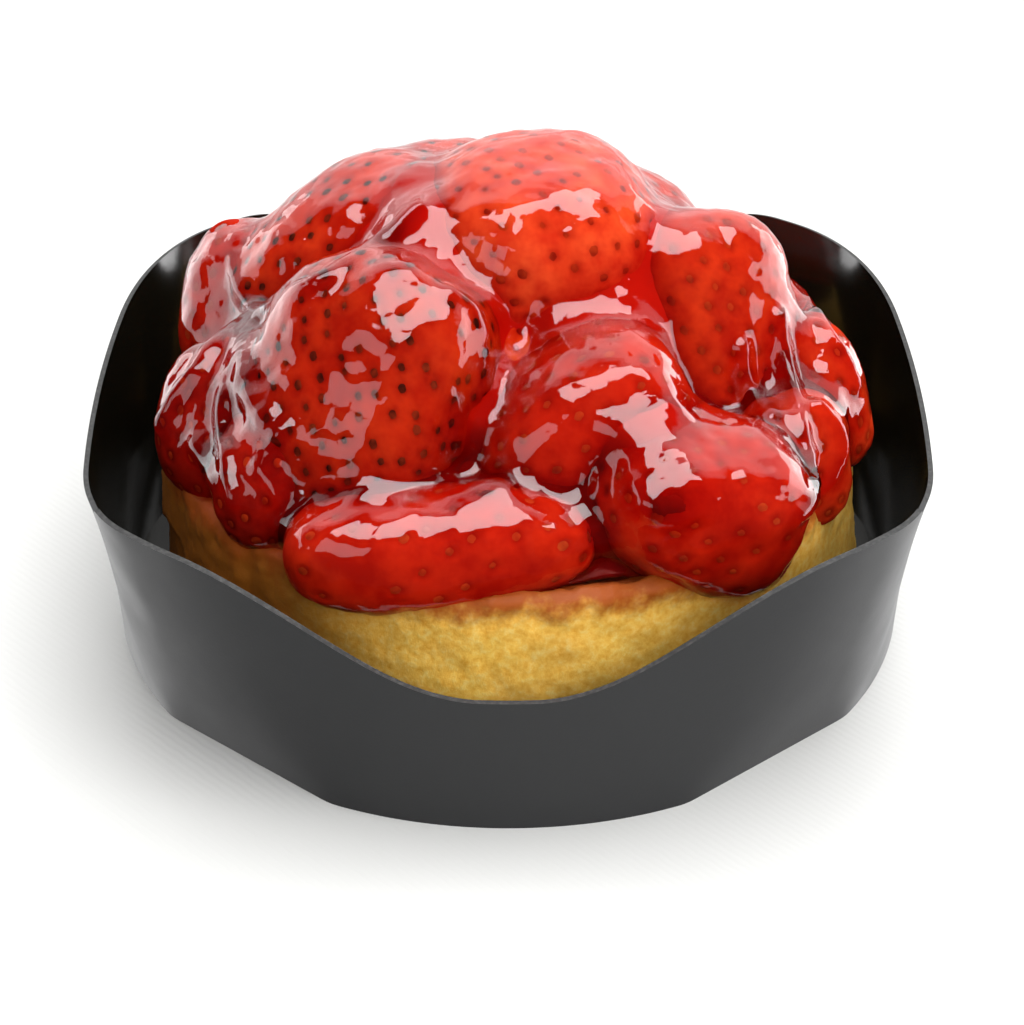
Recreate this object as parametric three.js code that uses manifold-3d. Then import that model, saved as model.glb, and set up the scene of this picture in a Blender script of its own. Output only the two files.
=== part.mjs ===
// A strawberry tart in its folded card case.
// Millimetres, +Z up. The origin is the middle of the case's underside, and the front of the tart faces -Y.
// The case holds a short, straight-sided tart of baked dough. A dome of set jelly stands on it,
// and whole strawberries are bedded in the jelly, each in a socket of its own.
import * as THREE from 'three';
import { mergeVertices } from 'three/addons/utils/BufferGeometryUtils.js';
import Module from 'manifold-3d';

const gap = 0.3; // clearance between neighbouring pieces

// Card case: a round floor with four flats, and a wall that dips at the front and the back.
const card = {
  thickness: 0.6,
  floorRadius: 50,
  flatReach: 48.3, // from the centre to a flat of the floor
  flatBearing: 39.4, // degrees of a flat from the front or back
  dipHeight: 19.4, // rim height at the middle of the front and back
  sideHeight: 31.9, // rim height at the sides
  dipStart: 3.5, // degrees from the front at which the rim starts to climb
  dipEnd: 41.2, // and at which it is level again
  frontReach: 53.8, // the wall's plan at full height: a shallow arc at the front and back
  frontArc: 64.6,
  sideReach: 50.4, // and a flatter one at each side
  sideArc: 250,
  cornerBlend: 4.6, // how softly the arcs meet at the front corners
  backBlend: 9, // and at the back ones
  notchBearing: 56, // a small nick in the rim at each front corner
  notchDepth: 0.9,
  notchWidth: 0.8, // degrees to each side
  stations: 96,
};

// Baked dough: a plain drum with a rough rim.
const dough = {
  footRadius: 44.3,
  rimRadius: 42.5,
  foot: 0.9, // height of its underside
  rim: 26.4,
  bed: 25.6, // height of the flat top inside the rim
  rimWidth: 2.7,
  footRounding: 1.2,
  rimRounding: 0.9,
  middle: [0.4, 0],
  crag: 0.35, // unevenness of the side
  rimCrag: 0.55,
  steps: 84,
  levels: 6,
};

// The waves that run round the tart and make its crust uneven: how many, how they lean and where they start.
const waves = [
  { count: 4, lean: 0.21, start: 0.7 },
  { count: 11, lean: -0.5, start: 1.9 },
  { count: 26, lean: 0.9, start: 0.4 },
];

// A flake of glazed dough that has lifted off the left side below the rim.
const flake = {
  from: -90, // bearings of its ends in degrees
  to: -44,
  low: 15, // height of its ragged lower edge
  ragged: 2.5,
  teeth: 9, // waves of that edge round the whole tart
  lift: 0.9,
};

// Set jelly that the berries are bedded in.
const jelly = {
  radius: 38.5,
  top: 45,
  fullness: 1.8, // exponent of the dome's curve
  steps: 28,
  rings: 5,
};

// Strawberries: the middle, the bearing and rise in degrees of the way the tip points,
// the length, width and depth, and how much slimmer the tip end is.
const berryForm = {
  squareness: 2.6, // above 2 the shoulders are fuller than an ellipsoid's
  steps: 16,
  rings: 8,
};
const berries = [
  { name: 'crown', at: [3.8, 2, 46.2], points: [-82, 0], size: [30, 29.5, 28], taper: 0.06 },
  { name: 'front_left_large', at: [-16.6, -19.8, 39.8], points: [-119, -50], size: [33, 27, 19.5], taper: 0.12 },
  { name: 'front_middle', at: [8.3, -22, 36.8], points: [-166, -28], size: [26.5, 19, 18], taper: 0.1 },
  { name: 'front_right', at: [21, -29.5, 31.5], points: [-160, 20], size: [25, 21.5, 19], taper: 0.18 },
  { name: 'front_low', at: [-8, -36.2, 29.1], points: [2, 3], size: [35.5, 12.6, 12.6], taper: 0.1 },
  { name: 'right_upright', at: [24.4, -3.5, 38.4], points: [-60, -62], size: [31, 20.5, 17], taper: 0.26 },
  { name: 'upper_left', at: [-20, 8, 42.8], points: [-165, -25], size: [31, 20, 20], taper: 0.2 },
  { name: 'left_low', at: [-33, -13, 31], points: [-125, -50], size: [20, 17, 17], taper: 0.2 },
  { name: 'left_small', at: [-27, -25, 30.5], points: [-120, -40], size: [16, 13, 14], taper: 0.2 },
  { name: 'right_slim', at: [37.8, -6, 31], points: [-50, -50], size: [19, 11, 12], taper: 0.2 },
  { name: 'right_small', at: [34.5, -17, 28.5], points: [-50, -60], size: [16, 12, 11], taper: 0.2 },
  { name: 'middle_small', at: [-0.5, -13, 37.2], points: [-90, -20], size: [15, 14, 14], taper: 0.2 },
  { name: 'left_back', at: [-33, 10, 35], points: [-130, -50], size: [22, 16, 16], taper: 0.22 },
  { name: 'back_left_high', at: [-8, 21, 42], points: [100, -30], size: [26, 22, 19], taper: 0.2 },
  { name: 'back_right_high', at: [14, 18.5, 39.5], points: [60, -35], size: [26, 22, 19], taper: 0.22 },
  { name: 'right_back', at: [32, 11, 29.5], points: [20, -40], size: [22, 18, 17], taper: 0.2 },
  { name: 'back_left_low', at: [-21, 27, 32], points: [130, -35], size: [25, 20, 18], taper: 0.2 },
  { name: 'back_low', at: [2, 34, 31], points: [90, -25], size: [26, 22, 18], taper: 0.2 },
  { name: 'back_right_low', at: [23, 27, 30], points: [50, -35], size: [25, 20, 18], taper: 0.2 },
];

const materials = {
  card: new THREE.MeshStandardMaterial({ color: 0x2b2c2e, roughness: 0.45, metalness: 0 }),
  dough: new THREE.MeshStandardMaterial({ color: 0xd09a35, roughness: 0.8, metalness: 0 }),
  berry: new THREE.MeshStandardMaterial({ color: 0xc81e12, roughness: 0.15, metalness: 0 }),
  jelly: new THREE.MeshStandardMaterial({ color: 0x6e0f10, roughness: 0.1, metalness: 0 }),
};

const radians = THREE.MathUtils.degToRad;
const { clamp, lerp, smoothstep } = THREE.MathUtils;

const wasm = await Module();
wasm.setup();

// A lathe turned about Z, with each of its points moved to the radius and height that place gives.
// The angle runs from the front, -Y, towards +X. A point on the axis stays on it.
function turn(rows, steps, place) {
  const profile = rows.map(([radius, height]) => new THREE.Vector2(radius, height));
  const geometry = new THREE.LatheGeometry(profile, steps);
  const position = geometry.attributes.position;
  for (let i = 0; i < position.count; i += 1) {
    const row = i % rows.length;
    const step = Math.floor(i / rows.length) % steps;
    const [angle, radius, height] = place(step, row);
    position.setXYZ(i, radius * Math.sin(angle), -radius * Math.cos(angle), height);
  }
  return geometry;
}

// A closed solid from a geometry: shared points merged, and the flat triangles at the poles dropped.
function solidOf(geometry) {
  const bare = new THREE.BufferGeometry();
  bare.setAttribute('position', geometry.attributes.position.clone());
  bare.setIndex(geometry.index.clone());
  const merged = mergeVertices(bare);
  const index = merged.index.array;
  const kept = [];
  for (let i = 0; i < index.length; i += 3) {
    const [a, b, c] = index.slice(i, i + 3);
    if (a !== b && b !== c && c !== a) {
      kept.push(a, b, c);
    }
  }
  return new wasm.Manifold(new wasm.Mesh({
    numProp: 3,
    vertProperties: new Float32Array(merged.attributes.position.array),
    triVerts: new Uint32Array(kept),
  }));
}

// The largest piece of a solid, without the scraps that a cut leaves.
function largest(solid) {
  const pieces = solid.decompose();
  return pieces.reduce((best, piece) => (piece.volume() > best.volume() ? piece : best));
}

function geometryOf(solid) {
  const mesh = solid.getMesh();
  const geometry = new THREE.BufferGeometry();
  geometry.setAttribute('position', new THREE.BufferAttribute(new Float32Array(mesh.vertProperties), 3));
  geometry.setIndex(new THREE.BufferAttribute(new Uint32Array(mesh.triVerts), 1));
  geometry.computeVertexNormals();
  return geometry;
}

// --- Card case -------------------------------------------------------------------------------

// Degrees from the front or the back, whichever is nearer: 0 to 90.
function foldedBearing(angle) {
  const degrees = Math.abs(THREE.MathUtils.radToDeg(Math.atan2(Math.sin(angle), Math.cos(angle))));
  return Math.min(degrees, 180 - degrees);
}

// Distance from the centre to an arc that bulges to `reach` ahead of it.
function arcDistance(degrees, reach, arcRadius) {
  const centre = reach - arcRadius;
  const along = centre * Math.cos(radians(degrees));
  return along + Math.sqrt(along * along - centre * centre + arcRadius * arcRadius);
}

function roundedLesser(a, b, blend) {
  const share = clamp(0.5 + (0.5 * (b - a)) / blend, 0, 1);
  return lerp(b, a, share) - blend * share * (1 - share);
}

function floorDistance(bearing) {
  const flat = card.flatReach / Math.cos(radians(bearing - card.flatBearing));
  return Math.min(card.floorRadius, flat);
}

function fullHeightDistance(bearing, inFront) {
  const middle = arcDistance(bearing, card.frontReach, card.frontArc);
  const side = arcDistance(90 - bearing, card.sideReach, card.sideArc);
  return roundedLesser(middle, side, inFront ? card.cornerBlend : card.backBlend);
}

function wallDistance(bearing, inFront, height) {
  return lerp(floorDistance(bearing), fullHeightDistance(bearing, inFront), height / card.sideHeight);
}

function rimHeight(bearing, inFront) {
  const climb = smoothstep(bearing, card.dipStart, card.dipEnd);
  const nick = inFront ? Math.max(0, 1 - Math.abs(bearing - card.notchBearing) / card.notchWidth) : 0;
  return lerp(card.dipHeight, card.sideHeight, climb) - card.notchDepth * nick;
}

// Even stations round the wall, and three more at each nick.
function caseStations() {
  const stations = [];
  for (let i = 0; i < card.stations; i += 1) {
    stations.push((360 * i) / card.stations);
  }
  for (const offset of [-card.notchWidth, 0, card.notchWidth]) {
    stations.push(card.notchBearing + offset, 360 - card.notchBearing - offset);
  }
  return stations.sort((a, b) => a - b).map(radians);
}

function makeCase() {
  const stations = caseStations();
  const rows = [[0, 0], [1, 0], [1, 1], [0.9, 1], [0.9, 0.1], [0, 0.1]];
  return turn(rows, stations.length, (step, row) => {
    const angle = stations[step];
    const bearing = foldedBearing(angle);
    const inFront = Math.cos(angle) > 0;
    const rim = rimHeight(bearing, inFront);
    const height = [0, 0, rim, rim, card.thickness, card.thickness][row];
    const inset = row > 2 ? card.thickness : 0;
    const onAxis = row === 0 || row === rows.length - 1;
    return [angle, onAxis ? 0 : wallDistance(bearing, inFront, height) - inset, height];
  });
}

// --- Baked dough -----------------------------------------------------------------------------

// A smooth unevenness between about -1 and 1 that repeats round the tart.
function unevenness(angle, height) {
  const sum = waves.reduce(
    (total, { count, lean, start }) => total + Math.sin(count * angle + lean * height + start),
    0,
  );
  return sum / waves.length;
}

// How far the lifted flake stands proud of the side.
function flakeLift(angle, height) {
  const bearing = THREE.MathUtils.radToDeg(angle) - 360;
  const edge = flake.low + flake.ragged * Math.sin(flake.teeth * angle);
  const inside = bearing > flake.from && bearing < flake.to && height > edge && height < dough.rim;
  return inside ? flake.lift : 0;
}

// The drum's corners from its foot up the side and over the rim to the bed: how far in from the side each
// lies, its height, which way out and up is out of the dough there, and whether it is on the crumbling rim.
function doughCorners() {
  const { foot, rim, bed, rimWidth, footRounding, rimRounding, levels } = dough;
  const corners = [{ inset: footRounding, height: foot, out: 1, up: -1 }];
  for (let level = 0; level <= levels; level += 1) {
    const height = lerp(foot + footRounding, rim - rimRounding, level / levels);
    corners.push({ inset: 0, height, out: 1, up: 0 });
  }
  corners.push({ inset: rimRounding, height: rim, out: 1, up: 1, crumbly: true });
  corners.push({ inset: rimWidth - rimRounding, height: rim, out: -1, up: 1, crumbly: true });
  corners.push({ inset: rimWidth, height: bed, out: -1, up: 1 });
  return corners;
}

// The drum, or the same drum grown by `grow` on every side.
function makeDough(grow) {
  const corners = doughCorners();
  const rows = [[0, 0], ...corners.map((corner, row) => [1, row]), [0, corners.length]];
  return turn(rows, dough.steps, (step, row) => {
    const angle = (2 * Math.PI * step) / dough.steps;
    if (row === 0 || row > corners.length) {
      return [angle, 0, row === 0 ? dough.foot - grow : dough.bed + grow];
    }
    const { inset, height, out, up, crumbly } = corners[row - 1];
    const share = (height - dough.foot) / (dough.rim - dough.foot);
    const side = lerp(dough.footRadius, dough.rimRadius, share);
    const relief = dough.crag * unevenness(angle, height) + flakeLift(angle, height);
    const crumble = crumbly ? dough.rimCrag * unevenness(2 * angle, height + inset) : 0;
    return [angle, side - inset + relief + out * grow, height + crumble + up * grow];
  }).translate(...dough.middle, 0);
}

// --- Set jelly -------------------------------------------------------------------------------

function makeJellyDome() {
  const base = dough.bed + gap;
  const rows = [[0, 0], [1, 0]];
  for (let ring = 1; ring < jelly.rings; ring += 1) {
    rows.push([1, ring]);
  }
  rows.push([0, jelly.rings]);
  const last = rows.length - 1;
  return turn(rows, jelly.steps, (step, row) => {
    const angle = (2 * Math.PI * step) / jelly.steps;
    if (row === 0 || row === last) {
      return [angle, 0, row === 0 ? base : jelly.top];
    }
    const reach = (last - row) / (last - 1);
    return [angle, jelly.radius * reach, lerp(jelly.top, base, reach ** jelly.fullness)];
  });
}

// --- Strawberries ----------------------------------------------------------------------------

// A berry about its own middle, its tip towards +Z, grown by `grow` on every side: a ball drawn out
// at its shoulders and slimmed towards the tip.
function makeBerry({ size, taper }, grow) {
  const [length, width, depth] = size.map((span) => span / 2 + grow);
  const { squareness, steps, rings } = berryForm;
  const shape = new THREE.SphereGeometry(1, steps, rings).rotateX(Math.PI / 2);
  const position = shape.attributes.position;
  const spot = new THREE.Vector3();
  for (let i = 0; i < position.count; i += 1) {
    spot.fromBufferAttribute(position, i);
    const powers = spot.toArray().map((part) => Math.abs(part) ** squareness);
    spot.divideScalar((powers[0] + powers[1] + powers[2]) ** (1 / squareness));
    const girth = 1 - taper * spot.z;
    position.setXYZ(i, spot.x * girth, spot.y * girth, spot.z);
  }
  return shape.scale(width, depth, length);
}

// The turn that brings a berry's tip to its bearing and rise, with its width level.
function berryTurn([bearing, rise]) {
  const [around, up] = [radians(bearing), radians(rise)];
  const level = new THREE.Vector3(Math.cos(around), Math.sin(around), 0);
  const tip = level.multiplyScalar(Math.cos(up)).setZ(Math.sin(up));
  const side = new THREE.Vector3(-Math.sin(around), Math.cos(around), 0);
  const back = new THREE.Vector3().crossVectors(tip, side);
  return new THREE.Quaternion().setFromRotationMatrix(new THREE.Matrix4().makeBasis(side, back, tip));
}

function berryPlace(berry) {
  const place = new THREE.Matrix4();
  return place.compose(new THREE.Vector3(...berry.at), berryTurn(berry.points), new THREE.Vector3(1, 1, 1));
}

// --- Assembly --------------------------------------------------------------------------------

const tart = new THREE.Group();
tart.name = 'strawberry_tart';

function addPiece(name, geometry, material) {
  const mesh = new THREE.Mesh(geometry, material);
  mesh.name = name;
  tart.add(mesh);
  return mesh;
}

addPiece('card_case', geometryOf(solidOf(makeCase())), materials.card);
addPiece('tart_base', geometryOf(solidOf(makeDough(0))), materials.dough);

// Each berry keeps clear of the dough and of the berries before it in the list,
// and the jelly keeps clear of every berry.
let taken = solidOf(makeDough(gap));
let bed = solidOf(makeJellyDome());
for (const berry of berries) {
  const place = berryPlace(berry);
  const cut = largest(solidOf(makeBerry(berry, 0).applyMatrix4(place)).subtract(taken));
  const grown = solidOf(makeBerry(berry, gap).applyMatrix4(place));
  taken = taken.add(grown);
  bed = bed.subtract(grown);
  const shape = geometryOf(cut).applyMatrix4(place.clone().invert());
  const mesh = addPiece(`strawberry_${berry.name}`, shape, materials.berry);
  mesh.position.set(...berry.at);
  mesh.quaternion.copy(berryTurn(berry.points));
}
addPiece('set_jelly', geometryOf(largest(bed)), materials.jelly);

export default tart;
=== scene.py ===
import bpy
import math
import random
from mathutils import Matrix, Vector
from mathutils.kdtree import KDTree


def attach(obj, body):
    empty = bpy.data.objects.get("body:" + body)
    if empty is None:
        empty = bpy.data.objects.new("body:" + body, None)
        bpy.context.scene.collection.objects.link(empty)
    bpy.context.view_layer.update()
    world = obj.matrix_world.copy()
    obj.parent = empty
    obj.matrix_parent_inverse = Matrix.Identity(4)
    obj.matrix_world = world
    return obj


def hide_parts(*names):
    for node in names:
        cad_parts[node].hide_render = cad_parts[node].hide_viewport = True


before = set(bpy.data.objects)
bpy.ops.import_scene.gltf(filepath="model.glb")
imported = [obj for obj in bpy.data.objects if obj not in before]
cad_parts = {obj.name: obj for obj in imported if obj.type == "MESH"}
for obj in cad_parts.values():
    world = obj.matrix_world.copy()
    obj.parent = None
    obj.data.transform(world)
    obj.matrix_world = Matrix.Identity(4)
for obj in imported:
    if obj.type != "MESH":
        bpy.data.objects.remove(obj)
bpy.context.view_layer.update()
print("frame loaded:", len(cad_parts), "nodes")

mm = 0.001
scene = bpy.context.scene


# Colours and nodes

def hexColour(text):  # sRGB hex to Blender's linear colour
    parts = [int(text[i:i + 2], 16) / 255 for i in (1, 3, 5)]
    return [c / 12.92 if c <= 0.04045 else ((c + 0.055) / 1.055) ** 2.4 for c in parts] + [1.0]


def addNode(tree, kind, settings={}, inputs={}):  # an input takes a plain value, or a socket to link
    node = tree.nodes.new("ShaderNode" + kind)
    for name, value in settings.items():
        setattr(node, name, value)
    for name, value in inputs.items():
        if isinstance(value, bpy.types.NodeSocket):
            tree.links.new(value, node.inputs[name])
        else:
            node.inputs[name].default_value = value
    return node


def setStops(ramp, stops):  # stops are (place, hex) from left to right
    elements = ramp.color_ramp.elements
    while len(elements) < len(stops):
        elements.new(1.0)
    for element, (place, colour) in zip(elements, stops):
        element.position = place
        element.color = hexColour(colour)
    return ramp


def startMaterial(name):
    material = bpy.data.materials.new(name)
    material.use_nodes = True
    material.node_tree.nodes.clear()
    return material, material.node_tree


def noiseAt(tree, size, detail=3.0, roughness=0.5):  # size of a blotch in mm
    place = addNode(tree, "TexCoord")
    return addNode(tree, "TexNoise", {}, {
        "Vector": place.outputs["Object"], "Scale": 1 / (size * mm), "Detail": detail,
        "Roughness": roughness})


# Modelling helpers

def deselectAll():
    bpy.ops.object.select_all(action="DESELECT")


def activate(piece):
    deselectAll()
    piece.select_set(True)
    bpy.context.view_layer.objects.active = piece


def addModifier(piece, kind, settings):  # added and applied at once
    activate(piece)
    modifier = piece.modifiers.new(kind, kind)
    for name, value in settings.items():
        setattr(modifier, name, value)
    bpy.ops.object.modifier_apply(modifier=modifier.name)


def copyOf(piece, name):
    twin = piece.copy()
    twin.data = piece.data.copy()
    twin.name = name
    scene.collection.objects.link(twin)
    return twin


def joined(pieces, name):
    deselectAll()
    for piece in pieces:
        piece.select_set(True)
    bpy.context.view_layer.objects.active = pieces[0]
    bpy.ops.object.join()
    pieces[0].name = name
    return pieces[0]


def settle(piece):  # its place goes into its mesh
    activate(piece)
    bpy.ops.object.transform_apply(location=True, rotation=True, scale=True)


def smooth(piece, angle=None):
    activate(piece)
    if angle is None:
        bpy.ops.object.shade_smooth()
    else:
        bpy.ops.object.shade_smooth_by_angle(angle=math.radians(angle))


def weigh(piece, name, weights):  # a vertex group from (index, weight) pairs
    group = piece.vertex_groups.new(name=name)
    for index, weight in weights:
        group.add([index], weight, "REPLACE")


def swell(piece, height, group=""):  # along its normals, or sunk where the height is below nothing
    addModifier(piece, "DISPLACE", {"strength": height * mm, "mid_level": 0.0, "vertex_group": group})


def roughen(piece, name, size, height, octaves=2, group=""):  # an uneven relief with blotches of that size
    texture = bpy.data.textures.new(name, "CLOUDS")
    texture.noise_scale = size * mm
    texture.noise_depth = octaves
    addModifier(piece, "DISPLACE", {"texture": texture, "texture_coords": "LOCAL", "mid_level": 0.5,
                                    "strength": height * mm, "vertex_group": group})


def remesh(piece, voxel):
    addModifier(piece, "REMESH", {"mode": "VOXEL", "voxel_size": voxel * mm})


def relax(piece, passes=4):
    addModifier(piece, "SMOOTH", {"factor": 0.5, "iterations": passes})


def finished(piece, node, material):
    if material is not None:
        piece.data.materials.clear()
        piece.data.materials.append(material)
    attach(piece, "root")
    if node is not None:
        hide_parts(node)


# Camera, lights and floor

cameraSettings = {
    "rise": 32.7,  # degrees that it looks down
    "distance": 325,
    "target": (0.43, 0, 10.7),
    "lens": 88.93,
    "sensor": 36,
    "near": 10,  # where it starts to see
    "width": 1024,  # the frame in pixels, for what is placed by them
    "height": 1025,
}


def cameraAxes(s):  # its place, and which ways are forward and up for it
    tilt = math.radians(s["rise"])
    forward = Vector((0, math.cos(tilt), -math.sin(tilt)))
    up = Vector((0, math.sin(tilt), math.cos(tilt)))
    return Vector(s["target"]) * mm - forward * s["distance"] * mm, forward, up


def addCamera(s):
    place, forward, up = cameraAxes(s)
    bpy.ops.object.camera_add(location=place, rotation=(math.radians(90 - s["rise"]), 0, 0))
    camera = bpy.context.object
    camera.name = "viewpoint"
    camera.data.lens = s["lens"]
    camera.data.sensor_width = s["sensor"]
    camera.data.clip_start = s["near"] * mm
    scene.camera = camera


addCamera(cameraSettings)

# Each lamp shines on the tart from a direction, and its radiance is what a mirror would show.
# Some are seen only in the gloss, and some light only what is matt.
lampAim = (0, 0, 35)
lampDistance = 900
lamps = {
    "overheadSoftbox": {"towards": (0.03, -0.05, 1), "size": (1150, 540), "radiance": 9.5,
                        "lights": "gloss"},
    "leftSoftbox": {"towards": (-0.55, -0.62, 0.42), "size": (450, 420), "radiance": 2.7,
                    "lights": "gloss"},
    "leftWall": {"towards": (-0.9, 0.35, 0.03), "size": (1150, 620), "radiance": 2.8, "lights": "gloss"},
    "rightWall": {"towards": (0.9, 0.35, 0.03), "size": (1150, 620), "radiance": 4.2, "lights": "gloss"},
    "topFill": {"towards": (0.15, 0.05, 1), "size": (900, 700), "radiance": 4.4, "lights": "matt"},
    "leftFill": {"towards": (-0.97, -0.1, 0.2), "size": (420, 700), "radiance": 1.2, "lights": "matt"},
    "rightFill": {"towards": (0.75, -0.45, 0.5), "size": (500, 500), "radiance": 5.0, "lights": "matt"},
    "frontFill": {"towards": (0.1, -0.8, 0.55), "size": (800, 500), "radiance": 3.5, "lights": "matt"},
    "backCeiling": {"towards": (0, 0.8, 0.6), "distance": 1200, "size": (2000, 1100), "radiance": 0.8,
                    "lights": "both"},
}


def addLamp(name, s):
    towards = Vector(s["towards"]).normalized()
    place = (Vector(lampAim) + towards * s.get("distance", lampDistance)) * mm
    bpy.ops.object.light_add(type="AREA", location=place,
                             rotation=towards.to_track_quat("Z", "Y").to_euler())
    lamp = bpy.context.object
    lamp.name = name
    lamp.data.shape = "RECTANGLE"
    width, height = (side * mm for side in s["size"])
    lamp.data.size, lamp.data.size_y = width, height
    lamp.data.energy = s["radiance"] * math.pi * width * height
    lamp.visible_diffuse = s["lights"] != "gloss"
    lamp.visible_glossy = s["lights"] != "matt"


for lampName, lampSettings in lamps.items():
    addLamp(lampName, lampSettings)

# The room: a white sweep behind and overhead, and dark on the side that the camera looks from.
room = {
    "front": "#303030",
    "back": "#ffffff",
    "strength": 1.15,
    "dark": 0.3,  # how far back it is still dark, as a share of a sphere's radius
    "bright": 0.42,
    "sides": 0.15,  # how much further forward the white reaches at the left and right
}


def lightRoom(s):
    scene.world = bpy.data.worlds.new("studio")
    scene.world.use_nodes = True
    tree = scene.world.node_tree
    tree.nodes.clear()
    place = addNode(tree, "TexCoord")
    parts = addNode(tree, "SeparateXYZ", {}, {0: place.outputs["Generated"]})
    aside = addNode(tree, "Math", {"operation": "ABSOLUTE"}, {0: parts.outputs["X"]})
    back = addNode(tree, "Math", {"operation": "MULTIPLY_ADD"}, {
        0: aside.outputs[0], 1: s["sides"], 2: parts.outputs["Y"]})
    share = addNode(tree, "MapRange", {"interpolation_type": "SMOOTHSTEP"}, {
        "Value": back.outputs[0], "From Min": s["dark"], "From Max": s["bright"]})
    colour = addNode(tree, "Mix", {"data_type": "RGBA"}, {
        0: share.outputs[0], 6: hexColour(s["front"]), 7: hexColour(s["back"])})
    light = addNode(tree, "Background", {}, {"Color": colour.outputs[2], "Strength": s["strength"]})
    addNode(tree, "OutputWorld", {}, {"Surface": light.outputs[0]})


lightRoom(room)
scene.view_settings.view_transform = "Standard"

floorSettings = {
    "size": 4000,
    "colour": "#dadad8",
    "weave": 1.1,  # width of a rib
    "relief": 0.05,
}


def paintFloor(s):  # white cotton cloth, woven: matt, with a faint rib
    material, tree = startMaterial("white cotton cloth")
    place = addNode(tree, "TexCoord")
    rib = addNode(tree, "TexWave", {"wave_type": "BANDS", "bands_direction": "DIAGONAL"}, {
        "Vector": place.outputs["Object"], "Scale": 0.5 / (s["weave"] * mm), "Distortion": 2.0})
    bump = addNode(tree, "Bump", {}, {"Height": rib.outputs["Fac"], "Distance": s["relief"] * mm,
                                      "Strength": 0.4})
    cloth = addNode(tree, "BsdfPrincipled", {}, {
        "Base Color": hexColour(s["colour"]), "Roughness": 0.9, "Normal": bump.outputs[0]})
    addNode(tree, "OutputMaterial", {}, {"Surface": cloth.outputs[0]})
    return material


def addFloor(s):
    deselectAll()
    bpy.ops.mesh.primitive_plane_add(size=s["size"] * mm, location=(0, 0, 0))
    floor = bpy.context.object
    floor.name = "floor"
    floor.data.materials.append(paintFloor(s))
    floor.visible_glossy = False  # so that nothing pale shows in the underside of the glaze


addFloor(floorSettings)
print("camera, lamps and floor set")


# Card case

card = {
    "thickness": 0.6,
    "floorRadius": 50,
    "flatReach": 48.3,  # from the centre to a flat of the floor
    "flatBearing": 39.4,  # degrees of a flat from the front or back
    "foldAtFloor": 0.3,  # how softly a flat meets the round, sharp at the floor and soft at the rim
    "foldAtRim": 7,
    "dipHeight": 19.4,  # rim at the middle of the front and back
    "sideHeight": 31.9,  # rim at the sides
    "dipStart": 3.5,  # degrees from the front at which the rim starts to climb
    "dipEnd": 41.2,
    "frontReach": 53.8,  # plan at full height: a shallow arc at the front and back
    "frontArc": 64.6,
    "sideReach": 50.4,  # and a flatter one at each side
    "sideArc": 250,
    "cornerBlend": 4.6,  # how softly the arcs meet at the front corners
    "backBlend": 9,  # and at the back ones
    "notchBearing": 56,  # a small nick in the rim at each front corner
    "notchDepth": 0.9,
    "notchWidth": 0.8,
    "stations": 360,
    "rings": 14,
    "crease": 40,  # degrees at which the card is seen to be folded
}


def clamp(value, low=0.0, high=1.0):
    return max(low, min(high, value))


def mixed(a, b, share):
    return a + (b - a) * share


def smoothStep(value, low, high):
    share = clamp((value - low) / (high - low))
    return share * share * (3 - 2 * share)


def foldedBearing(x, y):  # degrees from the front or the back, whichever is nearer
    degrees = abs(math.degrees(math.atan2(x, -y)))
    return min(degrees, 180 - degrees)


def arcDistance(degrees, reach, radius):
    along = (reach - radius) * math.cos(math.radians(degrees))
    return along + math.sqrt(along * along - (reach - radius) ** 2 + radius * radius)


def wallDistance(s, bearing, front, height):
    flat = s["flatReach"] / math.cos(math.radians(bearing - s["flatBearing"]))
    fold = mixed(s["foldAtFloor"], s["foldAtRim"], height / s["sideHeight"])
    share = clamp(0.5 + 0.5 * (s["floorRadius"] - flat) / fold)
    floorEdge = mixed(s["floorRadius"], flat, share) - fold * share * (1 - share)
    middle = arcDistance(bearing, s["frontReach"], s["frontArc"])
    side = arcDistance(90 - bearing, s["sideReach"], s["sideArc"])
    blend = s["cornerBlend"] if front else s["backBlend"]
    share = clamp(0.5 + 0.5 * (side - middle) / blend)
    full = mixed(side, middle, share) - blend * share * (1 - share)
    return mixed(floorEdge, full, height / s["sideHeight"])


def rimHeight(s, bearing, front):
    climb = smoothStep(bearing, s["dipStart"], s["dipEnd"])
    nick = max(0.0, 1 - abs(bearing - s["notchBearing"]) / s["notchWidth"]) if front else 0
    return mixed(s["dipHeight"], s["sideHeight"], climb) - s["notchDepth"] * nick


def paintCard():  # black board, calendered and varnished: satin, with a little mottle and dust
    material, tree = startMaterial("varnished black board")
    mottle = noiseAt(tree, 0.35, 4.0)
    patch = noiseAt(tree, 9, 3.0)
    roughness = addNode(tree, "MapRange", {}, {
        "Value": patch.outputs["Fac"], "From Min": 0.3, "From Max": 0.7, "To Min": 0.34, "To Max": 0.44})
    bump = addNode(tree, "Bump", {}, {"Height": mottle.outputs["Fac"], "Distance": 0.02 * mm,
                                      "Strength": 0.5})
    board = addNode(tree, "BsdfPrincipled", {}, {
        "Base Color": hexColour("#39393a"), "Roughness": roughness.outputs[0], "IOR": 1.5,
        "Sheen Weight": 0.12, "Sheen Roughness": 0.4, "Normal": bump.outputs[0]})
    addNode(tree, "OutputMaterial", {}, {"Surface": board.outputs[0]})
    return material


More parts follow.
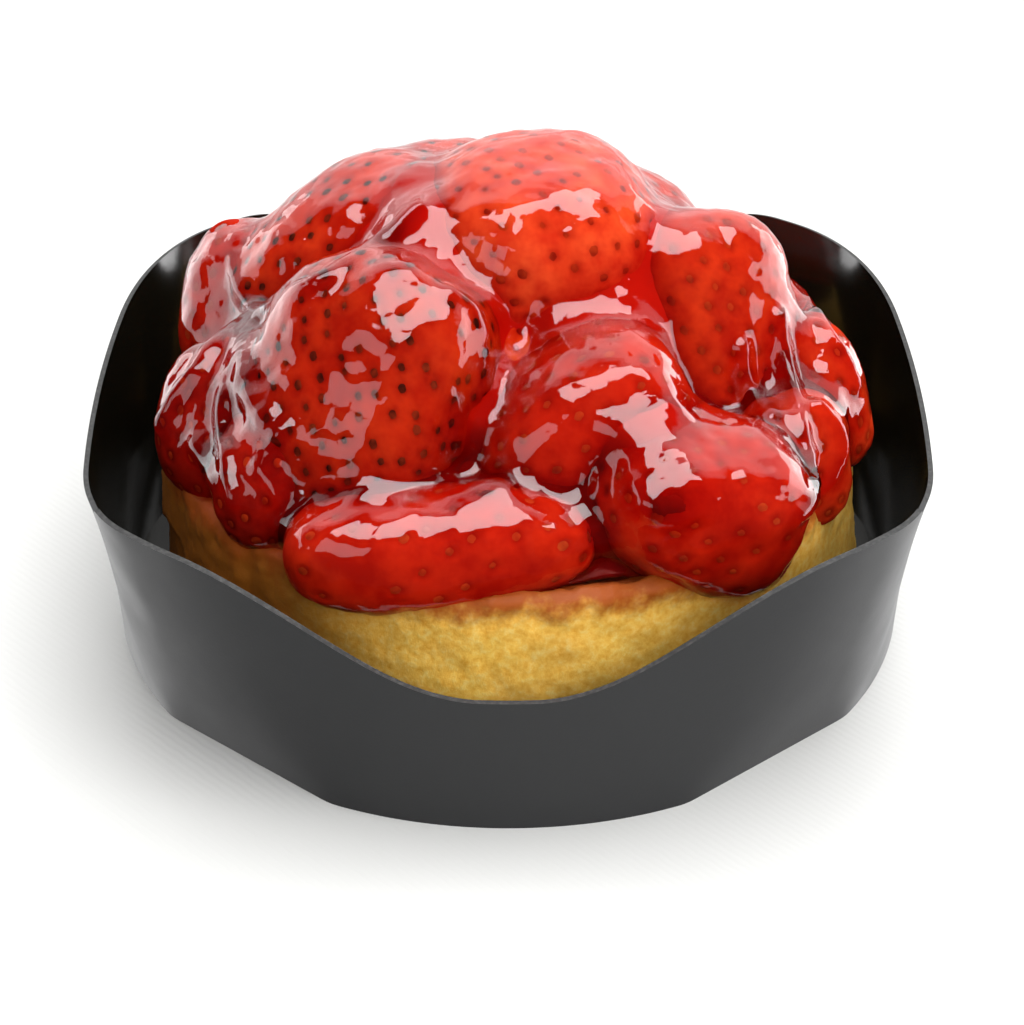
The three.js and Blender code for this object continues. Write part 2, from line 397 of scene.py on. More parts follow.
def paintCardInside():  # the same board, gloss varnished inside against grease
    material, tree = startMaterial("gloss black board")
    patch = noiseAt(tree, 6, 3.0)
    bump = addNode(tree, "Bump", {}, {"Height": patch.outputs["Fac"], "Distance": 0.1 * mm,
                                      "Strength": 0.3})
    board = addNode(tree, "BsdfPrincipled", {}, {
        "Base Color": hexColour("#12100a"), "Roughness": 0.12, "IOR": 1.55, "Normal": bump.outputs[0]})
    addNode(tree, "OutputMaterial", {}, {"Surface": board.outputs[0]})
    return material


def paintCutEdge():  # cut board: matt, greyer than its faces
    material, tree = startMaterial("cut board edge")
    grain = noiseAt(tree, 0.5, 4.0)
    ramp = setStops(addNode(tree, "ValToRGB", {}, {"Fac": grain.outputs["Fac"]}),
                    [(0.45, "#101010"), (0.8, "#3a3938")])
    board = addNode(tree, "BsdfPrincipled", {}, {"Base Color": ramp.outputs[0], "Roughness": 0.7})
    addNode(tree, "OutputMaterial", {}, {"Surface": board.outputs[0]})
    return material


def makeCase(s):
    deselectAll()
    bpy.ops.mesh.primitive_circle_add(vertices=s["stations"], radius=s["floorRadius"] * mm,
                                      fill_type="NGON")
    case = bpy.context.object
    case.name = "card_case_dressed"
    bpy.ops.object.mode_set(mode="EDIT")
    bpy.ops.mesh.select_mode(type="EDGE")
    bpy.ops.mesh.select_all(action="SELECT")
    bpy.ops.mesh.region_to_loop()
    for ring in range(s["rings"]):
        bpy.ops.mesh.extrude_edges_move(TRANSFORM_OT_translate={"value": (0, 0, mm)})
    bpy.ops.object.mode_set(mode="OBJECT")
    for vertex in case.data.vertices:  # each ring goes to its share of the wall's height
        bearing = foldedBearing(vertex.co.x, vertex.co.y)
        front = vertex.co.y < 0
        height = vertex.co.z / (s["rings"] * mm) * rimHeight(s, bearing, front)
        reach = wallDistance(s, bearing, front, height) * mm
        angle = math.atan2(vertex.co.x, -vertex.co.y)
        vertex.co = (reach * math.sin(angle), -reach * math.cos(angle), height * mm)
    activate(case)
    bpy.ops.object.mode_set(mode="EDIT")
    bpy.ops.mesh.select_all(action="SELECT")
    bpy.ops.mesh.normals_make_consistent(inside=False)
    bpy.ops.object.mode_set(mode="OBJECT")
    faceUp = case.data.polygons[0].normal.z > 0
    addModifier(case, "SOLIDIFY", {"thickness": s["thickness"] * mm, "offset": 1 if faceUp else -1,
                                   "use_even_offset": True, "use_rim": True})
    return case


def paintCase(case, s):  # satin outside, glossy inside, and matt along the cut edge at the rim
    outside, inside, edge = 0, 1, 2
    for paint in (paintCard(), paintCardInside(), paintCutEdge()):
        case.data.materials.append(paint)
    for face in case.data.polygons:
        place, way = face.center, face.normal
        outwards = way.x * place.x + way.y * place.y >= 0
        onFloor = way.z > 0.9 and place.z < 2 * s["thickness"] * mm
        onRim = way.z > 0.7 and place.z > s["dipHeight"] / 2 * mm
        face.material_index = edge if onRim else outside if outwards and not onFloor else inside


case = makeCase(card)
paintCase(case, card)
smooth(case, card["crease"])
finished(case, "card_case", None)
print("case made")


# Baked dough

dough = {
    "foot": 0.9,
    "rim": 26.4,
    "bed": 25.6,
    "footRadius": 44.3,
    "rimRadius": 42.5,
    "bedRadius": 39.8,
    "middle": (0.4, 0),
    "footRounding": 1.2,
    "rimRounding": 1.4,
    "bedShare": 0.7,  # how far in the flat of the rim reaches towards the bed
    "stations": 560,
    "rise": 0.5,  # height of a ring of faces
    "reliefs": [  # name, blotch size, octaves and height, and where it is
        ("crags", 9, 2, 0.9, "side"),
        ("crumb", 2.6, 3, 0.4, "side"),
        ("grain", 0.8, 2, 0.25, "side"),
        ("brokenRim", 3.2, 3, 1.5, "rimBand"),
    ],
    "inFromBed": 1,  # how far in over the bed the crumb still is
    "rimBandLow": 5,  # below the rim, where it starts to be broken
    "rimBandHigh": 1,
    "soakedFrom": -0.4,  # height from the rim at which it starts to be soaked, less the wobble
    "soakedTo": 3.4,
    "soakedWobble": 8,
    "brownAndShadeFrom": -14,  # how far to the left it starts to be browner and darker, partly glazed brown and partly painted shade from the case wall and the berries above, in the same way
    "brownAndShadeTo": -34,
    "brownAndShadeWobble": -10,
}

# A flake of glazed dough that has lifted off the left side below the rim, between two bearings in degrees.
flake = {"from": -90, "to": -44, "fadeIn": 4, "fadeOut": 3, "low": 15, "waves": 9, "ragged": 2.5,
         "edge": 0.4, "lift": 0.9}


def doughProfile(s):  # (radius, height) from the foot up the side, over the rim and in to the bed
    rows = []
    height = s["foot"]
    while height <= s["rim"]:
        share = (height - s["foot"]) / (s["rim"] - s["foot"])
        radius = mixed(s["footRadius"], s["rimRadius"], share)
        under = max(0.0, 1 - (height - s["foot"]) / s["footRounding"])
        over = max(0.0, 1 - (s["rim"] - height) / s["rimRounding"])
        radius -= s["footRounding"] * (1 - math.sqrt(1 - under * under))
        radius -= s["rimRounding"] * (1 - math.sqrt(1 - over * over))
        rows.append((radius, height))
        height += s["rise"]
    rows.append((mixed(s["rimRadius"], s["bedRadius"], s["bedShare"]), s["rim"]))
    rows.append((s["bedRadius"], s["bed"]))
    return rows


def turnedUp(rows, stations):  # a closed drum extruded ring by ring from a thin disc
    deselectAll()
    firstRadius, firstHeight = rows[0]
    nextRadius, nextHeight = rows[1]
    thick = (nextHeight - firstHeight) * mm
    bpy.ops.mesh.primitive_cylinder_add(vertices=stations, radius=firstRadius * mm, depth=thick,
                                        location=(0, 0, firstHeight * mm + thick / 2))
    drum = bpy.context.object
    settle(drum)
    bpy.ops.object.mode_set(mode="EDIT")
    bpy.ops.mesh.select_mode(type="FACE")
    bpy.ops.mesh.select_all(action="DESELECT")
    bpy.ops.object.mode_set(mode="OBJECT")
    top = max(drum.data.polygons, key=lambda face: face.center.z)
    top.select = True
    bpy.ops.object.mode_set(mode="EDIT")
    share = nextRadius / firstRadius
    bpy.ops.transform.resize(value=(share, share, 1), center_override=(0, 0, 0))
    for (radius, height), (newRadius, newHeight) in zip(rows[1:], rows[2:]):
        share = newRadius / radius
        bpy.ops.mesh.extrude_region_move(
            TRANSFORM_OT_translate={"value": (0, 0, (newHeight - height) * mm)})
        bpy.ops.transform.resize(value=(share, share, 1), center_override=(0, 0, 0))
    bpy.ops.object.mode_set(mode="OBJECT")
    return drum


def flakeWeight(s, angle, z):  # 1 on the flake and 0 off it
    bearing = math.degrees(angle)
    low = s["low"] + s["ragged"] * math.sin(s["waves"] * angle)
    ends = smoothStep(bearing, s["from"], s["from"] + s["fadeIn"])
    ends *= 1 - smoothStep(bearing, s["to"] - s["fadeOut"], s["to"])
    return ends * smoothStep(z, low - s["edge"], low + s["edge"])


def roughenDough(crust, s):
    side = []
    rimBand = []
    lifted = []
    for vertex in crust.data.vertices:
        x, y, z = vertex.co / mm
        outwards = math.hypot(x, y)
        if outwards > s["bedRadius"] - s["inFromBed"] and z > s["foot"] + s["footRounding"]:
            side.append((vertex.index, 1.0))
            broken = smoothStep(z, s["rim"] - s["rimBandLow"], s["rim"] - s["rimBandHigh"])
            rimBand.append((vertex.index, broken))
        if outwards > s["bedRadius"]:
            lifted.append((vertex.index, flakeWeight(flake, math.atan2(x, -y), z)))
    weigh(crust, "side", side)
    weigh(crust, "rimBand", rimBand)
    weigh(crust, "lifted", lifted)
    for name, size, octaves, height, group in s["reliefs"]:
        roughen(crust, name, size, height, octaves, group)
    swell(crust, flake["lift"], "lifted")


def paintDough(s):  # shortcrust, baked: matt golden crumb, browner where it is soaked, and browner and darker at the left, partly glazed brown and partly painted shade
    material, tree = startMaterial("baked shortcrust")
    place = addNode(tree, "TexCoord")
    parts = addNode(tree, "SeparateXYZ", {}, {0: place.outputs["Object"]})
    blotch = noiseAt(tree, 5, 4.0, 0.6)
    crumb = noiseAt(tree, 0.9, 4.0, 0.65)
    golden = setStops(addNode(tree, "ValToRGB", {}, {"Fac": crumb.outputs["Fac"]}),
                      [(0.25, "#eeb040"), (0.5, "#fccf62"), (0.75, "#ffe690")])
    baked = setStops(addNode(tree, "ValToRGB", {}, {"Fac": blotch.outputs["Fac"]}),
                     [(0.3, "#ecb860"), (0.7, "#ffeeb4")])
    body = addNode(tree, "Mix", {"data_type": "RGBA", "blend_type": "MULTIPLY"}, {
        0: 0.32, 6: golden.outputs[0], 7: baked.outputs[0]})
    upwards = addNode(tree, "Math", {"operation": "MULTIPLY_ADD"}, {
        0: blotch.outputs["Fac"], 1: s["soakedWobble"] * mm, 2: parts.outputs["Z"]})
    soaked = addNode(tree, "MapRange", {"interpolation_type": "SMOOTHSTEP"}, {
        "Value": upwards.outputs[0], "From Min": (s["rim"] + s["soakedFrom"]) * mm,
        "From Max": (s["rim"] + s["soakedTo"]) * mm})
    # painted shade: browner and darker towards the left, partly the crust's glazed brown and partly the
    # shade of the case wall and the berries over it
    leftwards = addNode(tree, "Math", {"operation": "MULTIPLY_ADD"}, {
        0: blotch.outputs["Fac"], 1: s["brownAndShadeWobble"] * mm, 2: parts.outputs["X"]})
    brownAndShade = addNode(tree, "MapRange", {"interpolation_type": "SMOOTHSTEP"}, {
        "Value": leftwards.outputs[0], "From Min": s["brownAndShadeFrom"] * mm,
        "From Max": s["brownAndShadeTo"] * mm})
    side = addNode(tree, "Mix", {"data_type": "RGBA"}, {
        0: brownAndShade.outputs[0], 6: body.outputs[2], 7: hexColour("#a4601c")})
    colour = addNode(tree, "Mix", {"data_type": "RGBA"}, {
        0: soaked.outputs[0], 6: side.outputs[2], 7: hexColour("#9a4a12")})
    bump = addNode(tree, "Bump", {}, {"Height": crumb.outputs["Fac"], "Distance": 0.2 * mm,
                                      "Strength": 0.5})
    crust = addNode(tree, "BsdfPrincipled", {}, {
        "Base Color": colour.outputs[2], "Roughness": 0.6, "IOR": 1.25, "Normal": bump.outputs[0]})
    addNode(tree, "OutputMaterial", {}, {"Surface": crust.outputs[0]})
    return material


crust = turnedUp(doughProfile(dough), dough["stations"])
crust.name = "tart_base_dressed"
crust.location = (dough["middle"][0] * mm, dough["middle"][1] * mm, 0)
settle(crust)
roughenDough(crust, dough)
smooth(crust)
finished(crust, "tart_base", paintDough(dough))
print("crust made:", len(crust.data.polygons), "faces")


# Set jelly

jelly = {
    "radius": 38.5,
    "base": 25.9,
    "top": 45,
    "fullness": 1.8,  # above 1 it bulges more than a cone
    "edgeHeight": 0.3,
    "edgeTaper": 0.999,
    "leastRise": 0.05,  # of a ring over the one before
    "rings": 24,
    "stations": 96,
    "lump": 6,
    "lumpHeight": 0.8,
}


def jellyProfile(s):
    low = s["base"] + s["edgeHeight"]
    rows = [(s["radius"], s["base"]), (s["radius"] * s["edgeTaper"], low)]
    for ring in range(1, s["rings"]):
        reach = 1 - ring / s["rings"]
        height = mixed(s["top"], s["base"], reach ** s["fullness"])
        rows.append((s["radius"] * reach, max(height, low + s["leastRise"] * ring)))
    return rows


def paintJelly():  # strawberry jelly, set: deep and wet
    material, tree = startMaterial("set strawberry jelly")
    cloud = noiseAt(tree, 7, 2.0)
    depth = setStops(addNode(tree, "ValToRGB", {}, {"Fac": cloud.outputs["Fac"]}),
                     [(0.3, "#5a0504"), (0.7, "#8c0c08")])
    gel = addNode(tree, "BsdfPrincipled", {}, {
        "Base Color": depth.outputs[0], "Roughness": 0.15, "IOR": 1.36})
    addNode(tree, "OutputMaterial", {}, {"Surface": gel.outputs[0]})
    return material


jellyDome = turnedUp(jellyProfile(jelly), jelly["stations"])
jellyDome.name = "set_jelly_dressed"
roughen(jellyDome, "jellyLumps", jelly["lump"], jelly["lumpHeight"])
smooth(jellyDome)
finished(jellyDome, "set_jelly", paintJelly())
print("jelly made")


# Strawberries

# Each berry's middle, the bearing and rise in degrees of its tip, its length, width and depth,
# how much slimmer the tip end is, its ripeness and how far apart its seeds are.
berries = {
    "crown": {"at": (3.8, 2, 46.2), "points": (-82, 0), "size": (30, 29.5, 28), "taper": 0.06,
              "flesh": "light", "seeds": "red", "spacing": 3.0},
    "front_left_large": {"at": (-16.6, -19.8, 39.8), "points": (-119, -50), "size": (33, 27, 19.5),
                         "taper": 0.12, "flesh": "ripe", "seeds": "brown", "spacing": 2.5},
    "front_middle": {"at": (8.3, -22, 36.8), "points": (-166, -28), "size": (26.5, 19, 18), "taper": 0.1,
                     "flesh": "deep", "seeds": "red", "spacing": 3.2},
    "front_right": {"at": (21, -29.5, 31.5), "points": (-160, 20), "size": (25, 21.5, 19), "taper": 0.18,
                    "flesh": "deep", "seeds": "red", "spacing": 3.2},
    "front_low": {"at": (-8, -36.2, 29.1), "points": (2, 3), "size": (35.5, 12.6, 12.6), "taper": 0.1,
                  "flesh": "deep", "seeds": "red", "spacing": 3.4},
    "right_upright": {"at": (24.4, -3.5, 38.4), "points": (-60, -62), "size": (31, 20.5, 17),
                      "taper": 0.26, "flesh": "bright", "seeds": "red", "spacing": 2.7},
    "upper_left": {"at": (-20, 8, 42.8), "points": (-165, -25), "size": (31, 20, 20), "taper": 0.2,
                   "flesh": "bright", "seeds": "brown", "spacing": 2.8},
    "left_low": {"at": (-33, -13, 31), "points": (-125, -50), "size": (20, 17, 17), "taper": 0.2,
                 "flesh": "dark", "seeds": "red", "spacing": 2.8},
    "left_small": {"at": (-27, -25, 30.5), "points": (-120, -40), "size": (16, 13, 14), "taper": 0.2,
                   "flesh": "dark", "seeds": "red", "spacing": 2.8},
    "right_slim": {"at": (37.8, -6, 31), "points": (-50, -50), "size": (19, 11, 12), "taper": 0.2,
                   "flesh": "bright", "seeds": "red", "spacing": 2.8},
    "right_small": {"at": (34.5, -17, 28.5), "points": (-50, -60), "size": (16, 12, 11), "taper": 0.2,
                    "flesh": "bright", "seeds": "red", "spacing": 2.8},
    "middle_small": {"at": (-0.5, -13, 37.2), "points": (-90, -20), "size": (15, 14, 14), "taper": 0.2,
                     "flesh": "pale", "seeds": "red", "spacing": 3.0},
    "left_back": {"at": (-33, 10, 35), "points": (-130, -50), "size": (22, 16, 16), "taper": 0.22,
                  "flesh": "deep", "seeds": "red", "spacing": 2.8},
    "back_left_high": {"at": (-8, 21, 42), "points": (100, -30), "size": (26, 22, 19), "taper": 0.2,
                       "flesh": "bright", "seeds": "brown", "spacing": 2.8},
    "back_right_high": {"at": (14, 18.5, 39.5), "points": (60, -35), "size": (26, 22, 19),
                        "taper": 0.22, "flesh": "bright", "seeds": "red", "spacing": 2.8},
    "right_back": {"at": (32, 11, 29.5), "points": (20, -40), "size": (22, 18, 17), "taper": 0.2,
                   "flesh": "deep", "seeds": "red", "spacing": 2.8},
    "back_left_low": {"at": (-21, 27, 32), "points": (130, -35), "size": (25, 20, 18), "taper": 0.2,
                      "flesh": "deep", "seeds": "brown", "spacing": 2.8},
    "back_low": {"at": (2, 34, 31), "points": (90, -25), "size": (26, 22, 18), "taper": 0.2,
                 "flesh": "bright", "seeds": "brown", "spacing": 2.8},
    "back_right_low": {"at": (23, 27, 30), "points": (50, -35), "size": (25, 20, 18), "taper": 0.2,
                       "flesh": "deep", "seeds": "red", "spacing": 2.8},
}

berryForm = {
    "squareness": 2.6,  # above 2 the shoulders are fuller than an ellipsoid's
    "slimming": 0.975,  # of the sizes above, because the fuller shoulders reach further
    "segments": 96,
    "rings": 72,
    "lump": 9,
    "lumpHeight": 1.1,
    "dimple": 1.15,  # radius round a seed
    "dimpleDepth": 0.42,
    "seedLength": 2.1,
    "seedWidth": 1.4,
    "seedDepth": 0.75,
    "seedTaper": 0.7,
    "seedSizes": (0.8, 1.15),  # the least and most of that
    "sunk": 0.1,  # of the seed's middle below the skin
    "missing": 0.12,  # share of the seeds that aren't there
    "leafEnd": -0.86,  # no seeds beyond this share of the half length
    "tipBare": 0.2,  # below this a seed is too near an end to point anywhere, and is left out
}


def makeBlank(s):  # one berry of unit size, tip up: a sphere drawn out at its shoulders
    deselectAll()
    bpy.ops.mesh.primitive_uv_sphere_add(segments=s["segments"], ring_count=s["rings"], radius=1)
    blank = bpy.context.object
    blank.name = "berryBlank"
    power = s["squareness"]
    for vertex in blank.data.vertices:
        vertex.co /= sum(abs(part) ** power for part in vertex.co) ** (1 / power)
    return blank


def berryTurn(points):  # brings a berry's tip to its bearing and rise, with its width level
    around, up = (math.radians(angle) for angle in points)
    tip = Vector((math.cos(up) * math.cos(around), math.cos(up) * math.sin(around), math.sin(up)))
    side = Vector((-math.sin(around), math.cos(around), 0))
    back = tip.cross(side)
    return Matrix((side, back, tip)).transposed().to_4x4()


def seedPlaces(berry, form, skin, draw):  # skin vertices along a golden-angle spiral, evenly spaced
    length, width, depth = berry["size"]
    around = (width + depth) / 2
    area = math.pi * around * (0.35 * around + 0.65 * length)  # a long ellipsoid's, near enough
    count = int(area / (berry["spacing"] ** 2))
    tree = KDTree(len(skin))
    for index, place in enumerate(skin):
        tree.insert(place, index)
    tree.balance()
    golden = math.pi * (3 - math.sqrt(5))
    chosen = []
    for i in range(count):
        along = 1 - 2 * (i + 0.5) / count
        if along > form["leafEnd"] and draw.random() > form["missing"]:
            ring = math.sqrt(1 - along * along)
            turned = i * golden + draw.uniform(-0.5, 0.5) * berry["spacing"] / around
            spot = Vector((ring * math.cos(turned), ring * math.sin(turned), along))
            place = Vector((spot.x * width, spot.y * depth, spot.z * length)) * mm / 2
            chosen.append(tree.find(place)[1])
    return chosen, tree


def makeSeedBlank(s):  # an achene: a small pointed pip
    deselectAll()
    bpy.ops.mesh.primitive_ico_sphere_add(subdivisions=2, radius=0.5)
    seed = bpy.context.object
    seed.name = "seedBlank"
    seed.scale = (s["seedWidth"] * mm, s["seedDepth"] * mm, s["seedLength"] * mm)
    settle(seed)
    addModifier(seed, "SIMPLE_DEFORM", {"deform_method": "TAPER", "deform_axis": "Z",
                                        "factor": -s["seedTaper"]})
    smooth(seed)
    return seed


def dimpleWeights(form, skin, chosen, tree):  # how deep each vertex lies in a seed's dimple
    weights = {}
    for index in chosen:
        for place, other, distance in tree.find_range(skin[index], form["dimple"] * mm):
            pull = 0.5 + 0.5 * math.cos(math.pi * distance / (form["dimple"] * mm))
            weights[other] = max(weights.get(other, 0), pull)
    return weights


def plantSeeds(piece, form, chosen, tip, seedBlank, draw):  # each lies along the skin, pointing to the tip
    seeds = []
    for index in chosen:
        vertex = piece.data.vertices[index]
        normal = vertex.normal.copy()
        along = (tip - normal * tip.dot(normal))
        if along.length < form["tipBare"]:
            continue
        along.normalize()
        across = normal.cross(along)
        size = draw.uniform(*form["seedSizes"])
        seed = copyOf(seedBlank, "seed")
        turn = Matrix((across, -normal, along)).transposed().to_4x4()
        place = Matrix.Translation(vertex.co - normal * form["sunk"] * mm)
        seed.data.transform(place @ turn @ Matrix.Scale(size, 4))
        seeds.append(seed)
    return seeds


def makeBerry(name, berry, form, blank, seedBlank, draw):
    piece = copyOf(blank, "strawberry_" + name + "_dressed")
    length, width, depth = (span * form["slimming"] * mm / 2 for span in berry["size"])
    piece.scale = (width, depth, length)
    settle(piece)
    addModifier(piece, "SIMPLE_DEFORM", {"deform_method": "TAPER", "deform_axis": "Z",
                                         "factor": -2 * berry["taper"]})
    skin = [vertex.co.copy() for vertex in piece.data.vertices]
    chosen, tree = seedPlaces(berry, form, skin, draw)
    weights = dimpleWeights(form, skin, chosen, tree)
    weigh(piece, "dimples", weights.items())
    turn = Matrix.Translation(Vector(berry["at"]) * mm) @ berryTurn(berry["points"])
    piece.data.transform(turn)
    roughen(piece, "lumps_" + name, form["lump"], form["lumpHeight"], 1)
    swell(piece, -form["dimpleDepth"], "dimples")
    dimple = piece.data.attributes.new("dimple", "FLOAT", "POINT")
    for index, weight in weights.items():
        dimple.data[index].value = weight
    tip = turn.to_3x3() @ Vector((0, 0, 1))
    seeds = plantSeeds(piece, form, chosen, tip, seedBlank, draw)
    smooth(piece)
    return piece, seeds


fleshTones = {  # shaded side of a mottle, its light side, and the darker red painted as shade in a seed's dimple
    "light": ("#c03016", "#d84e24", "#98220e"),
    "bright": ("#a6200c", "#c23412", "#660c05"),
    "ripe": ("#981a08", "#b02c0e", "#4c0a04"),
    "deep": ("#981206", "#b4220c", "#740e06"),
    "dark": ("#7c0e08", "#9a180a", "#4a0604"),
    "pale": ("#d0501a", "#e8772c", "#9c2a0c"),
}


def paintFlesh(name, tones):  # ripe strawberry: mottled matt skin, with no gloss of its own under the glaze, and painted shade in the dimples round its seeds
    shade, light, dimpleShade = tones
    material, tree = startMaterial(name + " strawberry skin")
    mottle = noiseAt(tree, 4, 3.0, 0.6)
    blend = setStops(addNode(tree, "ValToRGB", {}, {"Fac": mottle.outputs["Fac"]}),
                     [(0.35, shade), (0.65, light)])
    dimple = addNode(tree, "Attribute", {"attribute_name": "dimple"})
    share = addNode(tree, "Math", {"operation": "MULTIPLY"}, {0: dimple.outputs["Fac"], 1: 0.75})
    # painted shade: a darker red mixed in where a seed's dimple sinks into the skin
    colour = addNode(tree, "Mix", {"data_type": "RGBA"}, {
        0: share.outputs[0], 6: blend.outputs[0], 7: hexColour(dimpleShade)})
    skin = addNode(tree, "BsdfPrincipled", {}, {
        "Base Color": colour.outputs[2], "Roughness": 0.5, "IOR": 1.03})
    addNode(tree, "OutputMaterial", {}, {"Surface": skin.outputs[0]})
    return material


def paintSeed(name, dark, light):  # achenes: hard, and dull under the glaze
    material, tree = startMaterial(name)
    mottle = noiseAt(tree, 2, 2.0)
    blend = setStops(addNode(tree, "ValToRGB", {}, {"Fac": mottle.outputs["Fac"]}),
                     [(0.35, dark), (0.65, light)])
    pip = addNode(tree, "BsdfPrincipled", {}, {
        "Base Color": blend.outputs[0], "Roughness": 0.4, "IOR": 1.05})
    addNode(tree, "OutputMaterial", {}, {"Surface": pip.outputs[0]})
    return material


draw = random.Random(7)
blank = makeBlank(berryForm)
seedBlank = makeSeedBlank(berryForm)
skins = {name: paintFlesh(name, tones) for name, tones in fleshTones.items()}
seedHeaps = {"brown": [], "red": []}
berryPieces = []
for name, berry in berries.items():
    piece, seeds = makeBerry(name, berry, berryForm, blank, seedBlank, draw)
    seedHeaps[berry["seeds"]] += seeds
    finished(piece, "strawberry_" + name, skins[berry["flesh"]])
    berryPieces.append(piece)
seedPaints = {
    "brown": paintSeed("brown strawberry seeds", "#2e0e06", "#7a2c14"),
    "red": paintSeed("red strawberry seeds", "#841e0c", "#ac3a16"),
}
for kind, seeds in seedHeaps.items():
    heap = joined(seeds, "strawberry_seeds_" + kind)
    finished(heap, None, seedPaints[kind])
    print("seeds", kind, len(seeds))
bpy.data.objects.remove(blank)
bpy.data.objects.remove(seedBlank)
print("berries made")


# Glaze

glaze = {
    "coarse": 0.8,  # voxels for the first passes
    "fine": 0.5,
    "tight": 0.8,  # grown, merged and shrunk again, so that creases fill to a smooth skin
    "slack": 4.2,  # the same in the webs, and behind
    "slackBehind": 8,  # how far back it starts to be slack all over
    "slackEdge": 6,  # and over how far
    "webEdge": 12,  # pixels over which a web ends
    "fillet": 0.7,  # grown and shrunk again in the same way, round the ridges
    "film": 0.5,  # thickness left over a berry
    "depth": 1.7,  # from the skin down to the red in a crease
    "darkBelow": 35,  # heights between which that red turns paler; below them it is darker, as painted shade in the creases
    "paleAbove": 44,
    "ripples": [(6, 0.8), (2.4, 0.28), (1.3, 0.12)],  # blotch size and height of the uneven coat
    "skirtRows": [  # radius and height up the edge of what has run out over the rim
        (37.7, 25.0), (38.7, 25.2), (39.7, 25.5), (40.3, 26.0), (39.9, 26.8), (38.2, 27.4),
    ],
    "skirtLean": 1.7,  # it reaches further on the left and less on the right
    "skirtWaves": [(5, 1, 0.55), (11, 2, 0.4), (23, 0, 0.25)],  # how many round it, where, and how high
    "skirtStations": 180,
}

# Where the glaze stands in ridges and strings: a width in mm, how far proud, and its way in pixels.
glazeStrings = [
    (2.4, 0.6, [(425, 205), (385, 246), (342, 274), (300, 298), (255, 316), (215, 352), (180, 392),
                (162, 432)]),
    (2.0, 0.5, [(255, 316), (240, 345), (228, 392), (222, 432), (230, 470), (236, 508)]),
    (4.6, -0.6, [(255, 316), (246, 350), (249, 386), (262, 418), (286, 442)]),
    (3.4, -0.4, [(196, 440), (206, 462), (220, 486)]),
    (3.0, -0.3, [(256, 462), (270, 478), (284, 500)]),
    (1.3, 0.3, [(238, 232), (229, 262), (240, 290), (255, 316)]),
    (2.2, 0.1, [(445, 290), (476, 310), (486, 345), (480, 398)]),
    (2.4, 0.1, [(452, 400), (460, 430), (448, 452)]),
    (1.5, 0.8, [(738, 339), (746, 381), (754, 396), (764, 411), (775, 421)]),
    (1.6, 0.9, [(778, 308), (778, 344), (793, 387), (796, 421), (807, 462), (808, 505), (792, 518)]),
    (1.5, 0.8, [(814, 404), (835, 424), (844, 452), (826, 483), (814, 490)]),
    (1.4, 0.7, [(803, 300), (820, 326), (836, 345), (848, 365), (856, 390)]),
    (1.3, 0.2, [(602, 470), (606, 520), (612, 566), (622, 596)]),
]

# Where it hangs slack between the berries: the middle and radius of each web in pixels.
glazeWebs = [
    (440, 170, 62), (425, 235, 40), (380, 255, 34), (330, 288, 34), (270, 315, 42), (232, 262, 34),
    (215, 372, 48), (252, 400, 42), (196, 440, 34), (240, 482, 36), (655, 225, 58), (652, 300, 34),
    (475, 320, 36), (462, 420, 26), (770, 350, 46), (815, 400, 60), (815, 470, 42), (572, 326, 40),
    (640, 352, 38),
]

# Flat places that mirror the softbox overhead: a lens's radius and thickness in mm, how proud, and its
# place in pixels.
glazeFacets = [
    (5.2, 1.5, 0.9, (642, 410)), (4.2, 1.2, 0.8, (608, 286)), (5.6, 1.6, 0.8, (675, 480)),
    (4.0, 1.2, 0.8, (395, 282)), (4.2, 1.2, 0.7, (484, 503)), (3.4, 1.0, 0.7, (380, 500)),
    (3.6, 1.0, 0.7, (362, 214)),
]

# Swellings towards the camera that fill wide gaps, in the same way.
glazePools = [
    (8.0, 8.0, 3.4, (436, 250)), (7.0, 7.0, 2.6, (420, 215)),
]


def pixelRay(x, y):  # from the camera through a pixel of the frame
    s = cameraSettings
    origin, forward, up = cameraAxes(s)
    pixels = s["lens"] / s["sensor"] * s["height"]
    ray = forward * pixels + Vector((1, 0, 0)) * (x - s["width"] / 2) + up * (s["height"] / 2 - y)
    return origin, ray.normalized()


def pixelOf(place):  # of the frame, where the camera sees a place
    s = cameraSettings
    origin, forward, up = cameraAxes(s)
    way = place - origin
    scale = s["lens"] / s["sensor"] * s["height"] / way.dot(forward)
    return Vector((s["width"] / 2 + way.x * scale, s["height"] / 2 - way.dot(up) * scale))


def spotAt(target, pixel):
    origin, ray = pixelRay(*pixel)
    found, place, normal, face = target.ray_cast(origin, ray)
    return (place, normal) if found else None


def makeString(target, width, proud, way):
    spots = [spotAt(target, pixel) for pixel in way]
    points = [place + normal * proud * mm for place, normal in filter(None, spots)]
    curve = bpy.data.curves.new("glazeString", "CURVE")
    curve.dimensions = "3D"
    spline = curve.splines.new("NURBS")
    spline.points.add(len(points) - 1)
    for point, place in zip(spline.points, points):
        point.co = (*place, 1)
    spline.use_endpoint_u = True
    spline.order_u = 3
    spline.resolution_u = 8
    curve.bevel_depth = width / 2 * mm
    curve.bevel_resolution = 3
    curve.use_fill_caps = True
    piece = bpy.data.objects.new("glazeString", curve)
    scene.collection.objects.link(piece)
    activate(piece)
    bpy.ops.object.convert(target="MESH")
    return bpy.context.object


